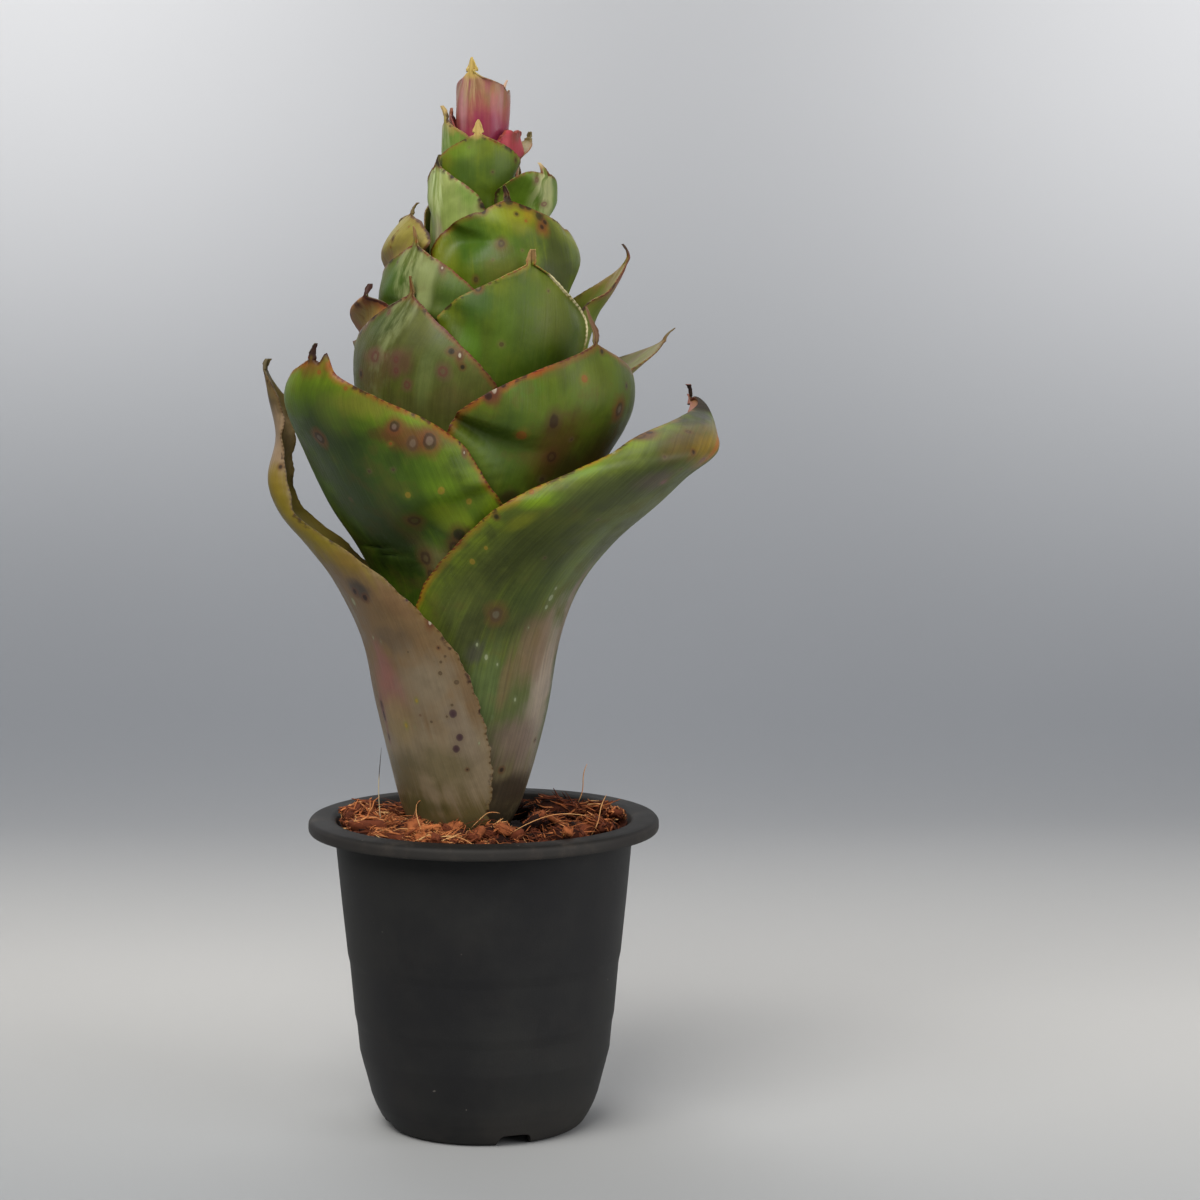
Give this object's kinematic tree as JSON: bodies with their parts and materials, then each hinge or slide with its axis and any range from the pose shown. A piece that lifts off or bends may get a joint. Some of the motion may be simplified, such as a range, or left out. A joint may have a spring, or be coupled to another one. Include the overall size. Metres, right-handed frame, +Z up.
{
  "type": "potted bromeliad",
  "caption": "Upright bromeliad with overlapping scale-like leaves and a rolled pink top, growing in a round black nursery pot.",
  "frame": {"origin": "on the ground at the middle of the part, which is the middle of the pot's foot ring to within 2 mm", "axes": "+Z up along the pot's axis and the plant's height; the front of the picture faces -Y and its right is +X"},
  "size_m": [0.1387, 0.11, 0.333],
  "materials": {
    "pot": "matte black moulded plastic",
    "growing_medium": "matte coconut husk chips and fibres",
    "stem": "matte pale woody stem",
    "green_leaf": "satin green leaf with brown margins",
    "base_leaf": "satin khaki and pink leaf sheath",
    "dry_leaf": "matte yellowed and reddened leaf",
    "pink_leaf": "satin pink leaf with pale lines"
  },
  "bodies": {
    "root": {"growing_medium": "growing_medium", "pot": "pot", "stem": "stem", "bract_24_right": "pink_leaf", "bract_25_left": "pink_leaf", "leaf_01_left_clasping": "base_leaf", "leaf_02_front_right": "green_leaf", "leaf_03_front_left": "green_leaf", "leaf_04_back_right": "green_leaf", "leaf_05_back_left": "green_leaf", "leaf_06_front_right": "green_leaf", "leaf_07_right": "green_leaf", "leaf_08_back": "green_leaf", "leaf_09_front_left": "green_leaf", "leaf_10_left_red": "dry_leaf", "leaf_11_front": "green_leaf", "leaf_12_right": "green_leaf", "leaf_13_back_right": "green_leaf", "leaf_14_front_left": "green_leaf", "leaf_15_left_yellow": "dry_leaf", "leaf_16_front": "green_leaf", "leaf_17_back": "green_leaf", "leaf_18_left": "green_leaf", "leaf_19_right": "green_leaf", "leaf_20_back_right": "green_leaf", "leaf_21_front": "green_leaf", "leaf_22_left": "green_leaf", "leaf_23_right": "green_leaf", "leaf_26_rolled_top": "pink_leaf", "leaf_27_inner_roll": "pink_leaf"}
  },
  "joints": []
}
